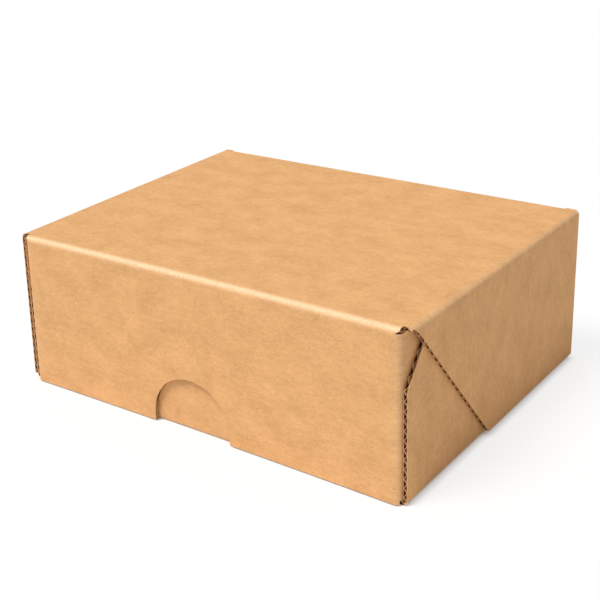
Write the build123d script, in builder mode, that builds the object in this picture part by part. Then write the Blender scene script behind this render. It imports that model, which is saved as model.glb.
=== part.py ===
from build123d import *
from math import asin, cos, degrees, radians
import os

# A mailing box folded from one die-cut sheet of corrugated board. The tray stands on the
# ground plane with the origin at the bottom centre: +X to the right, -Y to the front, +Z up.
# All sizes are in millimetres. Every folded panel is a band of board traced along its middle.

# Overall size of the closed box.
length = 320.0
depth = 240.0
height = 116.0

# The board, the play between two layers and the folds.
board = 3.0
layer_gap = 0.3
fold_inside = 0.8
score_gap = 0.3

# How far the loose edges stay above the ground.
cover_lift = 1.0
flap_lift = 3.0
tuck_lift = 1.0

# Thumb notch in the front cover: a half round on two short straight legs.
thumb_radius = 32.0
thumb_top = 40.0
thumb_offset = -7.0

# Tray walls: the side walls stand a little behind the front wall and have a cut corner.
side_wall_setback = 0.2
side_wall_rear_gap = 1.0
wall_corner_height = 36.0
wall_corner_run = 27.5
front_tab_length = 45.0
rear_tab_length = 40.0

# Lid flaps: the right one ends in a slanting edge, the left one in an upright edge.
right_flap_nose = 6.5
right_flap_toe = 104.0
left_flap_nose = 4.0
flap_rear_gap = 1.0

# Ears of the front cover, and the round relief holes at the lid's front corners.
ear_length = 65.0
relief_radius = 1.9
relief_from_side = 5.2
relief_from_front = 3.4

# Radii of a fold, and the arc that each of its two panels takes up to the hinge line.
fold_outside = fold_inside + board
fold_middle = fold_inside + board / 2
half_fold = 45 - degrees(asin(score_gap / 2 / fold_outside))
hinge_inset = fold_outside * (1 - cos(radians(45)))

# Planes of the layers, counted from the outside.
half_length = length / 2
front_y = -depth / 2
rear_y = depth / 2
step = board + layer_gap
side_wall_x = half_length - step
ear_x = side_wall_x - step
front_wall_x = ear_x - step
rear_wall_x = side_wall_x - board
front_wall_y = front_y + step
side_wall_y = front_wall_y + side_wall_setback
tray_top = height - step
fold_base = height - fold_outside
flap_rear_y = rear_y - flap_rear_gap
tuck_base = board + tuck_lift
panel_middle = height - board / 2
side_fold_x = half_length - fold_outside
cover_fold_end = ear_x - fold_outside
rear_fold_end = rear_wall_x - fold_outside


# Tray: floor, four walls and the tabs that hold the corners, all one sheet. The rear tabs are
# glued to the side walls, the front tabs stand free and leave a pocket for the ears.
with BuildPart() as tray:
    # Floor with both side walls.
    with BuildSketch(Plane.XZ.offset(side_wall_rear_gap - rear_y)):
        with BuildLine():
            FilletPolyline(
                (board / 2 - side_wall_x, tray_top),
                (board / 2 - side_wall_x, board / 2),
                (side_wall_x - board / 2, board / 2),
                (side_wall_x - board / 2, tray_top),
                radius=fold_middle,
            )
        trace(line_width=board)
    extrude(amount=rear_y - side_wall_rear_gap - side_wall_y)

    # The slanting cut at the front corner of each side wall.
    with BuildSketch(Plane.YZ):
        with BuildLine():
            Polyline(
                (side_wall_y, tray_top),
                (side_wall_y, tray_top - wall_corner_height),
                (side_wall_y + wall_corner_run, tray_top),
                close=True,
            )
        make_face()
    extrude(amount=half_length, both=True, mode=Mode.SUBTRACT)

    # Front wall, folded up from the floor.
    with BuildSketch(Plane.YZ):
        with BuildLine():
            FilletPolyline(
                (front_wall_y + board / 2, tray_top),
                (front_wall_y + board / 2, board / 2),
                (0, board / 2),
                radius=fold_middle,
            )
        trace(line_width=board)
    extrude(amount=front_wall_x - fold_outside, both=True)

    # Front tabs, folded back from both ends of the front wall.
    with BuildSketch(Plane.XY.offset(tuck_base)):
        with BuildLine():
            FilletPolyline(
                (board / 2 - front_wall_x, front_wall_y + front_tab_length),
                (board / 2 - front_wall_x, front_wall_y + board / 2),
                (front_wall_x - board / 2, front_wall_y + board / 2),
                (front_wall_x - board / 2, front_wall_y + front_tab_length),
                radius=fold_middle,
            )
        trace(line_width=board)
    extrude(amount=tray_top - tuck_base)

    # Rear wall, folded up from the floor and rounded over towards the lid.
    with BuildSketch(Plane.YZ):
        with BuildLine():
            FilletPolyline(
                (0, board / 2),
                (rear_y - board / 2, board / 2),
                (rear_y - board / 2, fold_base),
                radius=fold_middle,
            )
            JernArc((rear_y - board / 2, fold_base), (0, 1), fold_middle, half_fold)
        trace(line_width=board)
    extrude(amount=rear_fold_end, both=True)

    # Rear tabs, folded forward inside the side walls.
    with BuildSketch(Plane.XY.offset(tuck_base)):
        with BuildLine():
            FilletPolyline(
                (board / 2 - rear_wall_x, rear_y - rear_tab_length),
                (board / 2 - rear_wall_x, rear_y - board / 2),
                (rear_wall_x - board / 2, rear_y - board / 2),
                (rear_wall_x - board / 2, rear_y - rear_tab_length),
                radius=fold_middle,
            )
        trace(line_width=board)
    extrude(amount=fold_base - tuck_base)


# Lid panel: a flat sheet whose four edges round over to the hinge lines of the rear wall, the
# front cover and the two side flaps.
with BuildPart() as lid_panel:
    # From flap to flap.
    with BuildSketch(Plane.XZ.offset(-flap_rear_y)):
        with BuildLine():
            Line((-side_fold_x, panel_middle), (side_fold_x, panel_middle))
            JernArc((side_fold_x, panel_middle), (1, 0), fold_middle, -half_fold)
            JernArc((-side_fold_x, panel_middle), (-1, 0), fold_middle, half_fold)
        trace(line_width=board)
    extrude(amount=flap_rear_y - front_y - fold_outside)
    with BuildSketch(Plane.XY.offset(fold_base)):
        with Locations((0, rear_y)):
            Rectangle(2 * (rear_fold_end + score_gap), 2 * fold_outside)
    extrude(amount=fold_outside, mode=Mode.SUBTRACT)

    # From the rear wall to the front cover.
    for fold_y, outward, turn, fold_end in (
        (front_y + fold_outside, -1, half_fold, cover_fold_end),
        (rear_y - fold_outside, 1, -half_fold, rear_fold_end),
    ):
        with BuildSketch(Plane.YZ):
            with BuildLine():
                Line((0, panel_middle), (fold_y, panel_middle))
                JernArc((fold_y, panel_middle), (outward, 0), fold_middle, turn)
            trace(line_width=board)
        extrude(amount=fold_end, both=True)

    # The front corners, with a round relief hole where two folds would meet.
    with BuildSketch(Plane.XY.offset(height - board)):
        with Locations((0, front_y + relief_from_front + fold_outside)):
            Rectangle(2 * side_fold_x, 2 * fold_outside)
            Rectangle(2 * (cover_fold_end + score_gap), 2 * fold_outside, mode=Mode.SUBTRACT)
    extrude(amount=board)
    with BuildSketch(Plane.XY.offset(fold_base)):
        with Locations(
            (relief_from_side - half_length, front_y + relief_from_front),
            (half_length - relief_from_side, front_y + relief_from_front),
        ):
            Circle(relief_radius)
    extrude(amount=fold_outside, mode=Mode.SUBTRACT)


# Front cover: hangs from the lid's front fold over the tray's front wall. Its two ears fold
# back and tuck between the side walls and the front tabs.
with BuildPart() as front_cover:
    with BuildSketch(Plane.XY.offset(cover_lift)):
        with BuildLine():
            FilletPolyline(
                (board / 2 - ear_x, front_y + ear_length),
                (board / 2 - ear_x, front_y + board / 2),
                (ear_x - board / 2, front_y + board / 2),
                (ear_x - board / 2, front_y + ear_length),
                radius=fold_middle,
            )
        trace(line_width=board)
    extrude(amount=fold_base - cover_lift)

    # Each ear keeps inside an arc about the cover's hinge, so that it swings clear of the floor.
    with BuildSketch(Plane.YZ):
        with Locations((front_y + board + ear_length / 2, height / 2)):
            Rectangle(ear_length, height)
        with Locations((front_y + hinge_inset, height - hinge_inset)):
            Circle(height - hinge_inset - tuck_base, mode=Mode.SUBTRACT)
    extrude(amount=half_length, both=True, mode=Mode.SUBTRACT)

    # Rounded top, up to the hinge line with the lid.
    with BuildSketch(Plane.YZ):
        with BuildLine():
            Line((front_y + board / 2, fold_base - board), (front_y + board / 2, fold_base))
            JernArc((front_y + board / 2, fold_base), (0, 1), fold_middle, -half_fold)
        trace(line_width=board)
    extrude(amount=cover_fold_end, both=True)

    # Thumb notch.
    with BuildSketch(Plane.XZ.offset(-front_y - board)):
        with Locations((thumb_offset, thumb_top - thumb_radius)):
            Circle(thumb_radius)
        with Locations((thumb_offset, (thumb_top - thumb_radius) / 2)):
            Rectangle(2 * thumb_radius, thumb_top - thumb_radius)
    extrude(amount=board, mode=Mode.SUBTRACT)


# Right flap: hangs from the lid outside the right wall. Its front edge slants from the lid's
# corner back to the toe.
with BuildPart() as right_flap:
    with BuildSketch(Plane.XZ.offset(-flap_rear_y)):
        with BuildLine():
            Line((half_length - board / 2, flap_lift), (half_length - board / 2, fold_base))
            JernArc((half_length - board / 2, fold_base), (0, 1), fold_middle, half_fold)
        trace(line_width=board)
    extrude(amount=flap_rear_y - front_y - right_flap_nose)
    with BuildSketch(Plane.YZ):
        with BuildLine():
            Polyline(
                (front_y + right_flap_nose, height),
                (front_y + right_flap_toe, flap_lift),
                (front_y, flap_lift),
                (front_y, height),
                close=True,
            )
        make_face()
    extrude(amount=length, mode=Mode.SUBTRACT)


# Left flap: hangs from the lid outside the left wall, with an upright front edge.
with BuildPart() as left_flap:
    with BuildSketch(Plane.XZ.offset(-flap_rear_y)):
        with BuildLine():
            Line((board / 2 - half_length, flap_lift), (board / 2 - half_length, fold_base))
            JernArc((board / 2 - half_length, fold_base), (0, 1), fold_middle, -half_fold)
        trace(line_width=board)
    extrude(amount=flap_rear_y - front_y - left_flap_nose)


os.makedirs("parts", exist_ok=True)
tray.part.label = "tray"
lid_panel.part.label = "lid_panel"
front_cover.part.label = "front_cover"
right_flap.part.label = "right_flap"
left_flap.part.label = "left_flap"
export_step(tray.part, "parts/tray.step")
export_step(lid_panel.part, "parts/lid_panel.step")
export_step(front_cover.part, "parts/front_cover.step")
export_step(right_flap.part, "parts/right_flap.step")
export_step(left_flap.part, "parts/left_flap.step")
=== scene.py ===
from math import ceil, cos, hypot, pi, radians, sin, sqrt

import bmesh
import bpy
import numpy as np
from mathutils import Matrix, Vector
from mathutils.geometry import delaunay_2d_cdt


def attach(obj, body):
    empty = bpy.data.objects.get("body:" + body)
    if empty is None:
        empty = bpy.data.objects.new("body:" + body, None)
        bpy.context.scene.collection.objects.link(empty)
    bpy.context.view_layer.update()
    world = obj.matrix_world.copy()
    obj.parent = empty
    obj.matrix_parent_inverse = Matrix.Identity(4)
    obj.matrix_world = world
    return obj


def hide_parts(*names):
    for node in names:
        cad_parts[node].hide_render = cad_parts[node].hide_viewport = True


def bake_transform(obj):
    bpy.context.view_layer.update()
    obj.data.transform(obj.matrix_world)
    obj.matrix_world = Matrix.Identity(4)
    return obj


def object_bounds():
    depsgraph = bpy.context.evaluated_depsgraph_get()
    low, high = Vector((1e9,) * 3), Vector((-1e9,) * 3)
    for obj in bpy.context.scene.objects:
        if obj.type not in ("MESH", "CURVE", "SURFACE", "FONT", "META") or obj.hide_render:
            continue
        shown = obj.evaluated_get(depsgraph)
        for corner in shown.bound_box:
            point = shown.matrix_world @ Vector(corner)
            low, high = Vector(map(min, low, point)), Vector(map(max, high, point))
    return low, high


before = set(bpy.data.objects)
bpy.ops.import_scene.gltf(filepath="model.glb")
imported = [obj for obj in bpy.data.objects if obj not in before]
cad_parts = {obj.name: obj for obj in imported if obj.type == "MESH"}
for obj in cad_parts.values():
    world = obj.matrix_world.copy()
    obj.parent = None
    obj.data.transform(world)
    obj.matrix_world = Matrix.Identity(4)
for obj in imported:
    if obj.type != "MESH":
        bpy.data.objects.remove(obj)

cad_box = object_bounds()

# ---------------------------------------------------------------------------------------------
# The tray: floor and four walls folded up from one die-cut sheet of single-wall corrugated
# board, two kraft liners glued to a waved medium. The rear tabs are glued inside the side
# walls, and the front tabs are folded back and stand free.
mm = 0.001
board = 3.0 * mm
liner = 0.36 * mm
medium = 0.34 * mm
wave_length = 6.4 * mm
layer_gap = 0.3 * mm
cut_gap = 0.3 * mm
fold_inside = 0.8 * mm
fold_outside = fold_inside + board
fold_middle = fold_inside + board / 2
fold_length = fold_middle * pi / 2
fold_steps = 8
hinge_margin = 1.5 * mm
panel_step = 12 * mm
rim_step = 0.6 * mm
groove_depth = 4.5 * mm
shallow_groove = 0.5 * mm
medium_setback = 0.08 * mm
medium_sample = 0.5 * mm
crease_width = 1.3 * mm
# How strongly each crease is painted pale, partly as crease wear and partly as a painted highlight:
# full on the lid's front and rear creases, weak on the side creases and on all the tray's folds.
long_crease_wear_and_highlight = 1.0
side_crease_wear_and_highlight = 0.25

half_length = cad_box[1].x
front_y = cad_box[0].y
rear_y = cad_box[1].y
height = cad_box[1].z
layer = board + layer_gap

# How the box has settled: how far each corner stands off true, left to right, then front to
# rear, then bottom to top, and how far the long front has drawn in at its middle.
corner_shifts = mm * np.array([
    [[(-1.6, -0.6, 0.0), (2.2, 1.4, -2.3)], [(0.0, 0.0, 0.0), (-0.4, -0.6, -0.7)]],
    [[(0.5, -0.8, 0.0), (-0.5, 0.3, 0.8)], [(0.8, 0.6, 0.0), (-0.5, -0.2, -0.1)]],
])
front_bow = 1.4 * mm


def settle(points):
    """Moves points of the true box to where the used box has them."""
    share = (points + (half_length, rear_y, 0)) / (2 * half_length, 2 * rear_y, height)
    share = np.clip(share, 0, 1)
    moved = points.copy()
    for right in (0, 1):
        for rear in (0, 1):
            for top in (0, 1):
                weight = np.abs(share - (1 - right, 1 - rear, 1 - top)).prod(axis=1)
                moved += weight[:, None] * corner_shifts[right, rear, top]
    middle = 1 - (points[:, 0] / half_length).clip(-1, 1) ** 2
    moved[:, 1] += front_bow * middle * (1 - share[:, 1]) ** 2
    return moved


def fold_down(points, flat, axis, start, where):
    """Turns what lies past a crease down by a right angle, round the fold's radius."""
    side = np.sign(start)
    past = side * points[:, axis] - abs(start)
    turn = np.clip(past / fold_middle, 0, pi / 2)
    beyond = np.maximum(past - fold_length, 0)
    reach = fold_middle + points[:, 2]
    folded = points.copy()
    folded[:, axis] = side * (abs(start) + reach * np.sin(turn))
    folded[:, 2] = reach * np.cos(turn) - fold_middle - beyond
    return np.where((where(flat) & (past > 0))[:, None], folded, points)


def mirrored(outline, closing=None):
    """An outline on the right as one on the left, in the same turning sense, kinds kept."""
    kinds = [closing or outline[-1][2]] + [kind for _, _, kind in outline[:-1]]
    return [(-u, v, kind) for (u, v, _), kind in zip(outline[::-1], kinds[::-1])]


def grid_lines(outline, folds):
    """Lines along both sides of the sheet where a panel gets points: even ones and its creases."""
    lines = []
    for axis in (0, 1):
        places = [corner[axis] for corner in outline]
        count = max(2, round((max(places) - min(places)) / panel_step))
        even = np.linspace(min(places), max(places), count + 1)[1:-1]
        creases = np.array([
            start + np.sign(start) * share * fold_length
            for fold_axis, start, _ in folds
            if fold_axis == axis
            for share in np.linspace(0, 1, fold_steps + 1)
        ])
        if len(creases):
            clear = np.abs(even[:, None] - creases).min(axis=1) > fold_length / 2
            even = even[clear]
        lines.append(np.unique(np.concatenate([even, creases])))
    return lines


def walk_rim(outline, lines):
    """The outline's points, with more where it crosses a grid line and by the ends of each cut."""
    points, kinds = [], []
    for here, there in zip(outline, outline[1:] + outline[:1]):
        start = np.array(here[:2])
        run = np.array(there[:2]) - start
        size = hypot(*run)
        if size < 1e-7:
            continue
        shares = [0.0]
        for axis in (0, 1):
            if abs(run[axis]) > 1e-7:
                shares += list((lines[axis] - start[axis]) / run[axis])
        if here[2] == "cut" and size > 3 * rim_step:
            shares += [rim_step / size, 1 - rim_step / size]
        last = -1.0
        for share in sorted(shares):
            if 0 <= share < 1 - 0.05 * mm / size and (share - last) * size > 0.05 * mm:
                points.append(start + share * run)
                kinds.append(here[2])
                last = share
    return np.array(points), kinds


def inward_ways(rim, kinds, folds):
    """For each rim point, the way into the sheet square to its cuts, and the groove's depth.

    The groove stays shallow where the sheet is narrow and where it would run in over a crease.
    """
    run = np.roll(rim, -1, axis=0) - rim
    normal = np.stack([-run[:, 1], run[:, 0]], axis=1) / np.linalg.norm(run, axis=1)[:, None]
    ways = np.zeros_like(rim)
    depth = np.zeros(len(rim))
    for i in range(len(rim)):
        before, after = normal[i - 1], normal[i]
        if kinds[i - 1] == kinds[i] == "cut":
            ways[i] = (before + after) / max(1 + before @ after, 0.6)
            facing = ways[i][0] * run[:, 1] - ways[i][1] * run[:, 0]
            facing = np.where(np.abs(facing) < 1e-12, 1e-12, facing)
            off = rim - rim[i]
            far = (off[:, 0] * run[:, 1] - off[:, 1] * run[:, 0]) / facing
            along = (off[:, 0] * ways[i][1] - off[:, 1] * ways[i][0]) / facing
            met = far[(far > 0.01 * mm) & (along >= 0) & (along <= 1)]
            depth[i] = min(groove_depth, 0.4 * met.min()) if len(met) else shallow_groove
        else:
            ways[i] = after if kinds[i] == "cut" else before
    for axis, start, where in folds:
        near = np.sign(start) * rim[:, axis] - abs(start)
        far = near + np.sign(start) * ways[:, axis] * groove_depth
        crosses = (np.maximum(near, far) > 0) & (np.minimum(near, far) < fold_length)
        crosses &= where(rim) & (np.abs(ways[:, axis]) > 0.2)
        depth[crosses] = np.minimum(depth[crosses], shallow_groove)
    return ways, depth


def within(points, rim):
    """Which points lie inside the outline, by counting the edges to their right."""
    start, end = rim, np.roll(rim, -1, axis=0)
    u, v = points[:, :1], points[:, 1:]
    crosses = (start[:, 1] > v) != (end[:, 1] > v)
    rise = np.where(end[:, 1] == start[:, 1], 1, end[:, 1] - start[:, 1])
    at_u = start[:, 0] + (v - start[:, 1]) / rise * (end[:, 0] - start[:, 0])
    return (crosses & (u < at_u)).sum(axis=1) % 2 == 1


def inside_points(rim, lines):
    """Grid points that lie within the outline and clear of it."""
    points = np.array([(u, v) for u in lines[0] for v in lines[1]])
    run = np.roll(rim, -1, axis=0) - rim
    off_u = points[:, :1] - rim[:, 0]
    off_v = points[:, 1:] - rim[:, 1]
    share = ((off_u * run[:, 0] + off_v * run[:, 1]) / (run**2).sum(axis=1)).clip(0, 1)
    away = np.hypot(off_u - share * run[:, 0], off_v - share * run[:, 1]).min(axis=1)
    return points[within(points, rim) & (away > 0.2 * mm)]


def line_edges(flat, rim, lines):
    """Edges along the grid lines, so that no triangle spans a crease."""
    edges = []
    for axis in (0, 1):
        for place in lines[axis]:
            on_line = np.flatnonzero(np.abs(flat[:, axis] - place) < 0.0001 * mm)
            on_line = on_line[np.argsort(flat[on_line, 1 - axis])]
            if len(on_line) < 2:
                continue
            inner = within((flat[on_line[:-1]] + flat[on_line[1:]]) / 2, rim)
            edges += [(int(a), int(b)) for a, b, ok in zip(on_line, on_line[1:], inner) if ok]
    return edges


def waved_medium(rim, kinds, ways, depth, first_index):
    """Points and faces of the medium's cut edge, a thin waved strip set in the groove."""
    points, faces, rings = [], [], []
    lift = board / 2 - liner - medium / 2

    def close_strip():
        """Joins the rings gathered so far into one closed strip."""
        for a, b in zip(rings, rings[1:]):
            faces.extend([a + k, a + (k + 1) % 4, b + (k + 1) % 4, b + k] for k in range(4))
        if len(rings) > 1:
            faces.append([rings[0] + k for k in (3, 2, 1, 0)])
            faces.append([rings[-1] + k for k in range(4)])
        rings.clear()

    for i in range(len(rim)):
        j = (i + 1) % len(rim)
        steps = max(1, ceil(abs(rim[j][0] - rim[i][0]) / medium_sample))
        for share in np.arange(steps) / steps:
            deep = depth[i] + share * (depth[j] - depth[i])
            if kinds[i] != "cut" or deep < 3 * medium_setback:
                close_strip()
                continue
            edge = rim[i] + share * (rim[j] - rim[i])
            way = ways[i] + share * (ways[j] - ways[i])
            rings.append(first_index + len(points))
            for into, side in ((medium_setback, 1), (deep, 1), (deep, -1), (medium_setback, -1)):
                u, v = edge + into * way
                points.append((u, v, lift * sin(2 * pi * u / wave_length) + side * medium / 2))
    close_strip()
    return points, faces


def cut_and_fold(name, outline, folds, underneath=False):
    """One panel of the sheet: cut to its outline, grooved along its cuts and folded."""
    lines = grid_lines(outline, folds)
    rim, kinds = walk_rim(outline, lines)
    ways, depth = inward_ways(rim, kinds, folds)
    flat = np.concatenate([rim, inside_points(rim, lines)])
    ring = [(i, (i + 1) % len(rim)) for i in range(len(rim))]
    edges = ring + line_edges(flat, rim, lines)
    made = delaunay_2d_cdt([Vector(p) for p in flat], edges, [], 1, 1e-7)
    place, triangles, sources = made[0], made[2], made[3]
    index = {source: i for i, found in enumerate(sources) for source in found}
    rim_index = [index[i] for i in range(len(rim))]
    count = len(place)
    sheet = [(p.x, p.y, board / 2) for p in place] + [(p.x, p.y, -board / 2) for p in place]
    levels = [rim_index]
    for inset, lift in ((0, 1), (1, 1), (1, -1), (0, -1)):
        levels.append([len(sheet) + i for i in range(len(rim))])
        for point, way, deep in zip(rim, ways, depth):
            u, v = point + inset * deep * way
            sheet.append((u, v, lift * (board / 2 - liner)))
    levels.append([i + count for i in rim_index])
    faces = [list(t) for t in triangles] + [[i + count for i in reversed(t)] for t in triangles]
    finishes = [0] * len(faces)
    for i, j in ring:
        for k in range(5):
            faces.append([levels[k][i], levels[k + 1][i], levels[k + 1][j], levels[k][j]])
            # The groove's walls, the liners' inner faces and its far end, take the groove material,
            # which is painted dark as shade inside the flutes.
            finishes.append(1 if kinds[i] == "cut" and k in (1, 2, 3) else 0)
    strip_points, strip_faces = waved_medium(rim, kinds, ways, depth, len(sheet))
    sheet += strip_points
    faces += strip_faces
    finishes += [2] * len(strip_faces)

    sheet = np.array(sheet)
    points = sheet.copy()
    crease = np.zeros(len(sheet))
    # Paleness along each crease, partly wear and partly a painted highlight.
    for axis, start, where in folds:
        points = fold_down(points, sheet, axis, start, where)
        past = np.sign(start) * sheet[:, axis] - abs(start) - fold_length / 2
        crease_wear_and_highlight = long_crease_wear_and_highlight if axis == 1 and not underneath else side_crease_wear_and_highlight
        crease = np.maximum(crease, crease_wear_and_highlight * where(sheet) * np.exp(-((past / crease_width) ** 2)))
    points[:, 2] = board / 2 - points[:, 2] if underneath else height - board / 2 + points[:, 2]
    no_wear_or_highlight = np.zeros(len(sheet))

    mesh = bpy.data.meshes.new(name)
    mesh.from_pydata(points.tolist(), [], faces)
    mesh.polygons.foreach_set("material_index", finishes)
    corner = np.zeros(len(mesh.loops), np.int32)
    mesh.loops.foreach_get("vertex_index", corner)
    along = sheet[:, 1] if underneath else sheet_turn - sheet[:, 1]
    for layer_name, first, second in (("sheet", sheet[:, 0], along), ("wear_and_highlight", crease, no_wear_or_highlight)):
        places = np.stack([first, second], axis=1)[corner]
        mesh.uv_layers.new(name=layer_name).data.foreach_set("uv", places.ravel())
    shape = bmesh.new()
    shape.from_mesh(mesh)
    bmesh.ops.remove_doubles(shape, verts=shape.verts, dist=0.002 * mm)
    bmesh.ops.recalc_face_normals(shape, faces=shape.faces)
    shape.to_mesh(mesh)
    shape.free()
    mesh.shade_smooth()
    mesh.set_sharp_from_angle(angle=radians(35))
    mesh.materials.append(kraft_liner)
    mesh.materials.append(groove_painted_shade)
    mesh.materials.append(cut_medium)
    piece = bpy.data.objects.new(name, mesh)
    bpy.context.scene.collection.objects.link(piece)
    return piece


def settle_piece(piece):
    """Moves a finished piece's points as the used box has settled."""
    places = np.zeros(len(piece.data.vertices) * 3)
    piece.data.vertices.foreach_get("co", places)
    piece.data.vertices.foreach_set("co", settle(places.reshape(-1, 3)).ravel())
    piece.data.update()


def put(tree, kind, wires=None, **settings):
    """Adds a node, with its settings, and with each input set to a value or joined to a socket."""
    made = tree.nodes.new(kind)
    for setting, value in settings.items():
        setattr(made, setting, value)
    for socket, value in (wires or {}).items():
        if isinstance(value, bpy.types.NodeSocket):
            tree.links.new(value, made.inputs[socket])
        else:
            made.inputs[socket].default_value = value
    return made


def new_group(name, inputs, outputs):
    """An empty node group with named sockets, and its two end nodes."""
    tree = bpy.data.node_groups.new(name, "ShaderNodeTree")
    for socket, kind in inputs:
        tree.interface.new_socket(name=socket, in_out="INPUT", socket_type="NodeSocket" + kind)
    for socket, kind in outputs:
        tree.interface.new_socket(name=socket, in_out="OUTPUT", socket_type="NodeSocket" + kind)
    return tree, tree.nodes.new("NodeGroupInput").outputs, tree.nodes.new("NodeGroupOutput").inputs


# Kraft paper: long fibres laid along the machine, a cloudy pulp and scattered flecks.
kraft_paper, given, result = new_group(
    "kraft_paper",
    [("Place", "Vector"), ("Pale", "Color"), ("Dark", "Color"), ("Fleck", "Color")],
    [("Colour", "Color"), ("Roughness", "Float"), ("Height", "Float")],
)


def pulp(stretch, scale, detail):
    """Noise over the sheet, drawn out along the fibres by the given amount."""
    drawn = put(kraft_paper, "ShaderNodeVectorMath", {0: given["Place"], 1: (stretch, 1, 1)},
                operation="MULTIPLY")
    return put(kraft_paper, "ShaderNodeTexNoise",
               {"Vector": drawn.outputs[0], "Scale": scale, "Detail": detail}).outputs["Fac"]


def ranged(value, low, high, to_low=0.0, to_high=1.0):
    """A value spread from one range over another, and held at its ends."""
    return put(kraft_paper, "ShaderNodeMapRange",
               {0: value, 1: low, 2: high, 3: to_low, 4: to_high}).outputs[0]


def summed(first, second, operation="ADD"):
    """Two values added, or joined by another operation."""
    return put(kraft_paper, "ShaderNodeMath", {0: first, 1: second}, operation=operation).outputs[0]


clouds = pulp(0.7, 60, 4)
streaks = pulp(0.5, 330, 4)
fibres = pulp(0.4, 1150, 3)
specks = pulp(0.45, 900, 2)
pale_specks = pulp(0.3, 1150, 1)
tone = summed(ranged(clouds, 0.3, 0.7, 0, 0.34), ranged(streaks, 0.3, 0.7, 0, 0.28))
tone = summed(tone, ranged(fibres, 0.25, 0.75, 0, 0.38))
body = put(kraft_paper, "ShaderNodeMix",
           {0: tone, 6: given["Dark"], 7: given["Pale"]}, data_type="RGBA").outputs[2]
flecked = put(kraft_paper, "ShaderNodeMix",
              {0: ranged(specks, 0.63, 0.74, 0, 0.5), 6: body, 7: given["Fleck"]},
              data_type="RGBA").outputs[2]
lifted = put(kraft_paper, "ShaderNodeMix",
             {0: ranged(pale_specks, 0.62, 0.70, 0, 0.5), 6: flecked, 7: given["Pale"]},
             data_type="RGBA").outputs[2]
kraft_paper.links.new(lifted, result["Colour"])
kraft_paper.links.new(ranged(fibres, 0.3, 0.7, 0.72, 0.86), result["Roughness"])
kraft_paper.links.new(summed(fibres, clouds), result["Height"])


paper_bump = 0.6
bump_height = 0.12 * mm
# crease_paleness: how far creases are painted towards their pale colour, partly wear and partly a
# painted highlight.
crease_paleness = 0.95
paper_gloss = 0.25


def board_finish(name, pale, dark, fleck, wear_and_highlight_colour):
    """A material of kraft paper in its own colours, painted paler on its creases, partly as wear and
    partly as a painted highlight.
    """
    finish = bpy.data.materials.new(name)
    finish.use_nodes = True
    tree = finish.node_tree
    shader = tree.nodes["Principled BSDF"]
    place = put(tree, "ShaderNodeUVMap", uv_map="sheet").outputs[0]
    wear_and_highlight = put(tree, "ShaderNodeUVMap", uv_map="wear_and_highlight").outputs[0]
    paper = put(tree, "ShaderNodeGroup", node_tree=kraft_paper)
    tree.links.new(place, paper.inputs["Place"])
    for socket, colour in (("Pale", pale), ("Dark", dark), ("Fleck", fleck)):
        paper.inputs[socket].default_value = (*colour, 1)
    # The crease paleness, wear and painted highlight together, patchy along the crease.
    amounts = put(tree, "ShaderNodeSeparateXYZ", {0: wear_and_highlight})
    crease_patch_noise = put(tree, "ShaderNodeTexNoise", {"Vector": place, "Scale": 700.0, "Detail": 3.0})
    patchy = put(tree, "ShaderNodeMapRange",
                 {0: crease_patch_noise.outputs["Fac"], 1: 0.3, 2: 0.6, 3: 0.55, 4: 1.0})
    crease = put(tree, "ShaderNodeMath", {0: amounts.outputs[0], 1: patchy.outputs[0]},
                 operation="MULTIPLY")
    amount = put(tree, "ShaderNodeMath", {0: crease.outputs[0], 1: crease_paleness},
                 operation="MULTIPLY")
    colour = put(tree, "ShaderNodeMix",
                 {0: amount.outputs[0], 6: paper.outputs["Colour"], 7: (*wear_and_highlight_colour, 1)},
                 data_type="RGBA")
    relief = put(tree, "ShaderNodeBump",
                 {"Strength": paper_bump, "Distance": bump_height, "Height": paper.outputs["Height"]})
    tree.links.new(colour.outputs[2], shader.inputs["Base Color"])
    tree.links.new(paper.outputs["Roughness"], shader.inputs["Roughness"])
    tree.links.new(relief.outputs[0], shader.inputs["Normal"])
    shader.inputs["Specular IOR Level"].default_value = paper_gloss
    return finish


# The liners' kraft. Its pale crease colour is wear and a painted highlight together.
kraft_liner = board_finish(
    "kraft_liner",
    pale=(0.92, 0.52, 0.235),
    dark=(0.60, 0.305, 0.115),
    fleck=(0.38, 0.18, 0.065),
    wear_and_highlight_colour=(1.0, 0.72, 0.44),
)
# The cut edges' grooves: the liners' inner faces and the groove's far end, painted near-black brown as
# painted shade for the dark inside the flutes.
groove_painted_shade = board_finish(
    "groove_painted_shade",
    pale=(0.30, 0.14, 0.055),
    dark=(0.15, 0.06, 0.02),
    fleck=(0.08, 0.03, 0.01),
    wear_and_highlight_colour=(0.30, 0.14, 0.055),
)
cut_medium = board_finish(
    "cut_medium",
    pale=(0.84, 0.50, 0.25),
    dark=(0.58, 0.31, 0.13),
    fleck=(0.38, 0.18, 0.065),
    wear_and_highlight_colour=(0.84, 0.50, 0.25),
)

side_wall_setback = 0.2 * mm
rear_gap = 1.0 * mm
tuck_lift = 1.0 * mm
side_wall_x = half_length - layer
ear_x = side_wall_x - layer
front_wall_x = ear_x - layer
rear_wall_x = side_wall_x - board
front_wall_y = front_y + layer
side_wall_y = front_wall_y + side_wall_setback
side_wall_rear_y = rear_y - rear_gap
tray_top = height - layer
tuck_base = board + tuck_lift
corner_height = 36.0 * mm
corner_run = 27.5 * mm
front_tab_length = 45.0 * mm
rear_tab_length = 40.0 * mm
side_crease = side_wall_x - fold_outside
front_crease = front_wall_y + fold_outside
rear_crease = rear_y - fold_outside
front_tab_crease = front_wall_x - fold_outside
rear_tab_crease = rear_wall_x - fold_outside
seam_z = height - fold_outside - hinge_margin


def sheet_length(crease, rise):
    """How far along the sheet a wall reaches that starts at a crease and rises that high."""
    return abs(crease) + fold_length + rise - fold_outside


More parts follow.
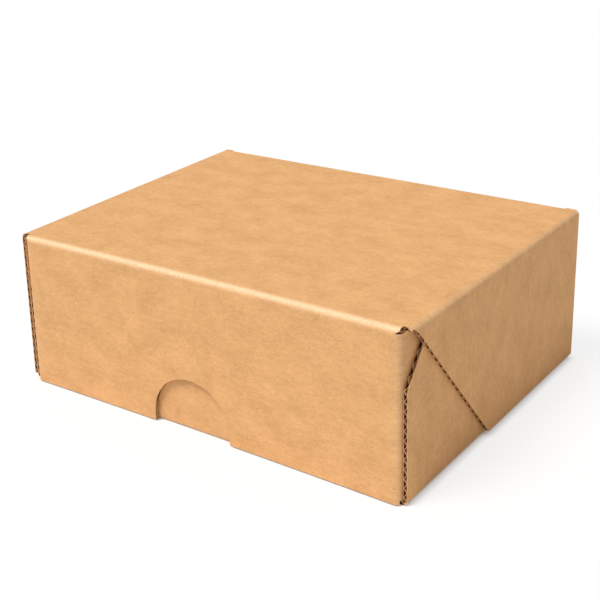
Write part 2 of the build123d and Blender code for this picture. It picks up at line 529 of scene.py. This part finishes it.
side_top = sheet_length(side_crease, tray_top)
side_cut = sheet_length(side_crease, tray_top - corner_height)
front_top = -sheet_length(front_crease, tray_top)
front_tuck = -sheet_length(front_crease, tuck_base)
rear_tuck = sheet_length(rear_crease, tuck_base)
rear_tab_top = sheet_length(rear_crease, height - fold_outside)
rear_seam = sheet_length(rear_crease, seam_z)
front_tab_end = sheet_length(front_tab_crease, front_tab_length)
rear_tab_end = sheet_length(rear_tab_crease, rear_tab_length)
sheet_turn = rear_seam + rear_crease + fold_length + hinge_margin

right_half = [
    (front_tab_end, front_top, "cut"),
    (front_tab_end, front_tuck, "cut"),
    (front_tab_crease, front_tuck, "cut"),
    (front_tab_crease, front_crease, "cut"),
    (front_tab_crease + cut_gap, front_crease, "cut"),
    (front_tab_crease + cut_gap, side_wall_y, "cut"),
    (side_cut, side_wall_y, "cut"),
    (side_top, side_wall_y + corner_run, "cut"),
    (side_top, side_wall_rear_y, "cut"),
    (rear_tab_crease + cut_gap, side_wall_rear_y, "cut"),
    (rear_tab_crease + cut_gap, rear_crease, "cut"),
    (rear_tab_crease, rear_crease, "cut"),
    (rear_tab_crease, rear_tuck, "cut"),
    (rear_tab_end, rear_tuck, "cut"),
    (rear_tab_end, rear_tab_top, "cut"),
    (rear_tab_crease, rear_tab_top, "cut"),
    (rear_tab_crease, rear_seam, "seam"),
]
front_split = (front_tuck + side_wall_y) / 2
rear_split = (rear_tuck + side_wall_rear_y) / 2


def on_front_wall(flat):
    """The front wall and its tabs."""
    beside_slit = np.abs(flat[:, 0]) < front_tab_crease + cut_gap / 2
    return (flat[:, 1] < front_split) | ((flat[:, 1] < 0) & beside_slit)


def on_rear_wall(flat):
    """The rear wall and its tabs."""
    beside_slit = np.abs(flat[:, 0]) < rear_tab_crease + cut_gap / 2
    return (flat[:, 1] > rear_split) | ((flat[:, 1] > 0) & beside_slit)


def on_side_walls(flat):
    """The floor and its side walls."""
    return (flat[:, 1] > front_split) & (flat[:, 1] < rear_split)


tray = cut_and_fold(
    "tray_board",
    right_half + mirrored(right_half, "cut"),
    [(0, side * front_tab_crease, lambda flat: flat[:, 1] < front_split) for side in (1, -1)]
    + [(0, side * rear_tab_crease, lambda flat: flat[:, 1] > rear_split) for side in (1, -1)]
    + [(0, side * side_crease, on_side_walls) for side in (1, -1)]
    + [(1, front_crease, on_front_wall), (1, rear_crease, on_rear_wall)],
    underneath=True,
)
settle_piece(tray)
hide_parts("tray")
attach(tray, "tray")

# ---------------------------------------------------------------------------------------------
# The lid panel: flat board, creased on all four sides. Each front corner is cut away past a
# round relief hole, so that the folds of the cover and of the flap don't pull on each other.
flap_crease = half_length - fold_outside
cover_crease = front_y + fold_outside
cover_end = ear_x - fold_outside
fold_overhang = 2.9 * mm
cover_fold_end = cover_end + fold_overhang
flap_seam = flap_crease - hinge_margin
cover_seam = cover_crease + hinge_margin
lid_rear_seam = rear_crease - hinge_margin
flap_rear_y = rear_y - rear_gap
half_fold_end = flap_crease + fold_length / 2
right_nose_y = front_y + 6.5 * mm
left_nose_y = front_y + 4.0 * mm
relief_radius = 1.9 * mm
relief_x = half_length - 5.2 * mm
relief_y = front_y + 3.4 * mm


def arc(centre, radius, first, last, kind="cut", steps=24):
    """Points of an outline along an arc, from the first angle to the last, in degrees."""
    return [
        (centre[0] + radius * cos(radians(a)), centre[1] + radius * sin(radians(a)), kind)
        for a in np.linspace(first, last, steps + 1)
    ]


def whole(flat):
    """A crease that runs right across its panel."""
    return np.ones(len(flat), bool)


def lid_corner(nose_y):
    """Outline of the lid's front corner, on the right, from the cover's seam to the flap's."""
    return [
        (cover_fold_end, cover_seam, "cut"),
        (cover_fold_end + cut_gap, cover_seam, "cut"),
        (cover_fold_end + cut_gap, relief_y, "cut"),
        *arc((relief_x, relief_y), relief_radius, 180, 0),
        (half_fold_end, relief_y, "cut"),
        (half_fold_end, nose_y, "cut"),
        (flap_seam, nose_y, "seam"),
        (flap_seam, flap_rear_y, "cut"),
        (rear_tab_crease + cut_gap, flap_rear_y, "cut"),
        (rear_tab_crease + cut_gap, lid_rear_seam, "cut"),
        (rear_tab_crease, lid_rear_seam, "seam"),
    ]


side_folds = [(0, flap_crease, whole), (0, -flap_crease, whole)]
lid_outline = lid_corner(right_nose_y) + mirrored(lid_corner(left_nose_y), "seam")
lid = cut_and_fold("lid_board", lid_outline, side_folds)
settle_piece(lid)
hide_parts("lid_panel")
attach(lid, "lid")

# ---------------------------------------------------------------------------------------------
# The rear fold: the crease by which the lid hangs on the rear wall. It is the same board, pressed
# along the crease, and the paper runs on over it.


rear_fold = cut_and_fold(
    "rear_fold",
    [
        (-rear_tab_crease, lid_rear_seam, "seam"),
        (rear_tab_crease, lid_rear_seam, "cut"),
        (rear_tab_crease, rear_crease + fold_length + hinge_margin, "seam"),
        (-rear_tab_crease, rear_crease + fold_length + hinge_margin, "cut"),
    ],
    [(1, rear_crease, whole)],
)
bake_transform(rear_fold)
settle_piece(rear_fold)

# ---------------------------------------------------------------------------------------------
# The front cover: hangs from the lid over the front wall. Its bottom edge has a half-round thumb
# notch, and its two ears are folded back and tucked in behind the side walls.
cover_bottom_z = 1.0 * mm
ear_length = 65.0 * mm
thumb_radius = 32.0 * mm
thumb_x = -7.0 * mm
thumb_centre_z = 8.0 * mm
hinge_inset = fold_outside * (1 - sqrt(0.5))
ear_swing = height - hinge_inset - tuck_base
ear_foot = cover_end + 0.6 * fold_length


def cover_v(z):
    """Place along the sheet of a height on the front cover."""
    return -(abs(cover_crease) + fold_length + height - fold_outside - z)


ear_end = sheet_length(cover_end, ear_length)
cover_low_seam = cover_crease - fold_length - hinge_margin
ear_curve = []
for y_in in np.linspace(fold_outside - hinge_inset, ear_length - hinge_inset, 13):
    ear_u = cover_end + fold_length + y_in + hinge_inset - fold_outside
    ear_z = height - hinge_inset - sqrt(ear_swing**2 - y_in**2)
    ear_curve.append((ear_u, cover_v(ear_z), "cut"))
right_side = [
    (ear_foot, cover_v(cover_bottom_z), "cut"),
    (ear_foot, cover_v(tuck_base), "cut"),
    *ear_curve,
    (ear_end, cover_v(height - fold_outside), "cut"),
    (cover_end, cover_v(height - fold_outside), "cut"),
    (cover_end, cover_low_seam, "seam"),
]
notch = [
    (thumb_x - thumb_radius, cover_v(cover_bottom_z), "cut"),
    *arc((thumb_x, cover_v(thumb_centre_z)), thumb_radius, 180, 0, steps=48),
    (thumb_x + thumb_radius, cover_v(cover_bottom_z), "cut"),
]
cover_outline = mirrored(right_side, "cut") + notch + right_side
cover = cut_and_fold(
    "cover_board",
    cover_outline,
    [(0, cover_end, whole), (0, -cover_end, whole), (1, cover_crease, whole)],
)
settle_piece(cover)
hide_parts("front_cover")
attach(cover, "cover")

half_front_fold = [
    (cover_end, cover_low_seam, "cut"),
    (cover_end, cover_crease - fold_length, "cut"),
    (cover_fold_end, cover_crease - 0.6 * fold_length, "cut"),
    (cover_fold_end, cover_seam, "seam"),
]
front_fold = cut_and_fold(
    "front_fold",
    half_front_fold + mirrored(half_front_fold, "seam"),
    [(1, cover_crease, whole)],
)
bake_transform(front_fold)
settle_piece(front_fold)

# ---------------------------------------------------------------------------------------------
# The side flaps: hang from the lid outside the side walls. The right one is cut on a slant from
# the lid's corner back to its toe, the left one ends upright.
flap_bottom_z = 3.0 * mm
right_toe_y = front_y + 104.0 * mm
flap_low_seam = flap_crease + fold_length + hinge_margin
flap_end = sheet_length(flap_crease, height - flap_bottom_z)
slant = (right_toe_y - right_nose_y) / (height - flap_bottom_z)
slant_seam_y = right_nose_y + slant * (height - seam_z)

for side, side_name, nose_y, seam_y, toe_y in (
    (1, "right", right_nose_y, slant_seam_y, right_toe_y),
    (-1, "left", left_nose_y, left_nose_y, left_nose_y),
):
    body = side_name + "_flap"
    flap_outline = [
        (flap_low_seam, seam_y, "cut"),
        (flap_end, toe_y, "cut"),
        (flap_end, flap_rear_y, "cut"),
        (flap_low_seam, flap_rear_y, "seam"),
    ]
    fold_outline = [
        (flap_seam, nose_y, "cut"),
        (half_fold_end, nose_y, "cut"),
        (flap_low_seam, seam_y, "seam"),
        (flap_low_seam, flap_rear_y, "cut"),
        (flap_seam, flap_rear_y, "seam"),
    ]
    if side < 0:
        flap_outline = mirrored(flap_outline)
        fold_outline = mirrored(fold_outline)
    folds = [(0, side * flap_crease, whole)]
    flap = cut_and_fold(body + "_board", flap_outline, folds)
    settle_piece(flap)
    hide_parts(body)
    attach(flap, body)
    strip = cut_and_fold(side_name + "_fold", fold_outline, folds)
    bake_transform(strip)
    settle_piece(strip)

# ---------------------------------------------------------------------------------------------
# The studio: a pale floor, a large soft lamp at the front left and an even white surround. The
# camera stands at the box's right front corner and looks a little down on it.
floor_half = 4.0
floor_glow = 0.82
contact_reach = 6 * mm
surround_strength = 0.36
lamp_strength = 2.55
lamp_spread = radians(24)
lamp_from = Vector((-0.25, -0.41, 0.875))
floor_mesh = bpy.data.meshes.new("floor")
floor_corners = [(-1, -1), (1, -1), (1, 1), (-1, 1)]
floor_points = [(x * floor_half, y * floor_half, 0) for x, y in floor_corners]
floor_mesh.from_pydata(floor_points, [], [(0, 1, 2, 3)])
floor_paint = bpy.data.materials.new("floor_paint")
floor_paint.use_nodes = True
floor_shader = floor_paint.node_tree.nodes["Principled BSDF"]
floor_shader.inputs["Base Color"].default_value = (0.95, 0.95, 0.95, 1)
floor_shader.inputs["Roughness"].default_value = 0.9
floor_shader.inputs["Specular IOR Level"].default_value = 0.0
seen = put(floor_paint.node_tree, "ShaderNodeLightPath")
shine = put(floor_paint.node_tree, "ShaderNodeEmission", {"Color": (1, 1, 1, 1), "Strength": 1.0})
direct = put(floor_paint.node_tree, "ShaderNodeMath",
             {0: seen.outputs["Is Camera Ray"], 1: seen.outputs["Is Glossy Ray"]}, operation="MAXIMUM")
direct = put(floor_paint.node_tree, "ShaderNodeMath",
             {0: direct.outputs[0], 1: seen.outputs["Is Transmission Ray"]}, operation="MAXIMUM")
clear = put(floor_paint.node_tree, "ShaderNodeAmbientOcclusion", {"Distance": contact_reach})
open_floor = put(floor_paint.node_tree, "ShaderNodeMath",
                 {0: clear.outputs["AO"], 1: floor_glow}, operation="MULTIPLY")
share = put(floor_paint.node_tree, "ShaderNodeMath",
            {0: direct.outputs[0], 1: open_floor.outputs[0]}, operation="MULTIPLY")
blended = put(floor_paint.node_tree, "ShaderNodeMixShader",
              {0: share.outputs[0], 1: floor_shader.outputs[0], 2: shine.outputs[0]})
floor_end = floor_paint.node_tree.nodes["Material Output"]
floor_paint.node_tree.links.new(blended.outputs[0], floor_end.inputs["Surface"])
floor_mesh.materials.append(floor_paint)
floor = bpy.data.objects.new("floor", floor_mesh)
bpy.context.scene.collection.objects.link(floor)

surround = bpy.data.worlds.new("surround")
surround.use_nodes = True
bpy.context.scene.world = surround
surround.node_tree.nodes["Background"].inputs["Color"].default_value = (1, 1, 1, 1)
surround.node_tree.nodes["Background"].inputs["Strength"].default_value = surround_strength

lamp_data = bpy.data.lights.new("key_lamp", "SUN")
lamp_data.energy = lamp_strength
lamp_data.angle = lamp_spread
lamp = bpy.data.objects.new("key_lamp", lamp_data)
lamp.rotation_euler = lamp_from.to_track_quat("Z", "Y").to_euler()
bpy.context.scene.collection.objects.link(lamp)

azimuth = radians(35.74)
elevation = radians(23.67)
tilt = radians(-1.82)
camera_distance = 0.8269
aim = Vector((0, 0, 0.058))
side_step = -0.65 * mm
rise = -2.93 * mm
lens = 68.42
nearest_seen = 0.01
back = Vector((sin(azimuth) * cos(elevation), -cos(azimuth) * cos(elevation), sin(elevation)))
level_right = Vector((cos(azimuth), sin(azimuth), 0))
level_up = back.cross(level_right)
right = cos(tilt) * level_right + sin(tilt) * level_up
up = cos(tilt) * level_up - sin(tilt) * level_right
camera_data = bpy.data.cameras.new("camera")
camera_data.lens = lens
camera_data.clip_start = nearest_seen
camera = bpy.data.objects.new("camera", camera_data)
turned = Matrix((right, up, back)).transposed()
spot = aim + camera_distance * back + side_step * right + rise * up
camera.matrix_world = Matrix.Translation(spot) @ turned.to_4x4()
bpy.context.scene.collection.objects.link(camera)
bpy.context.scene.camera = camera
bpy.context.scene.view_settings.view_transform = "Standard"
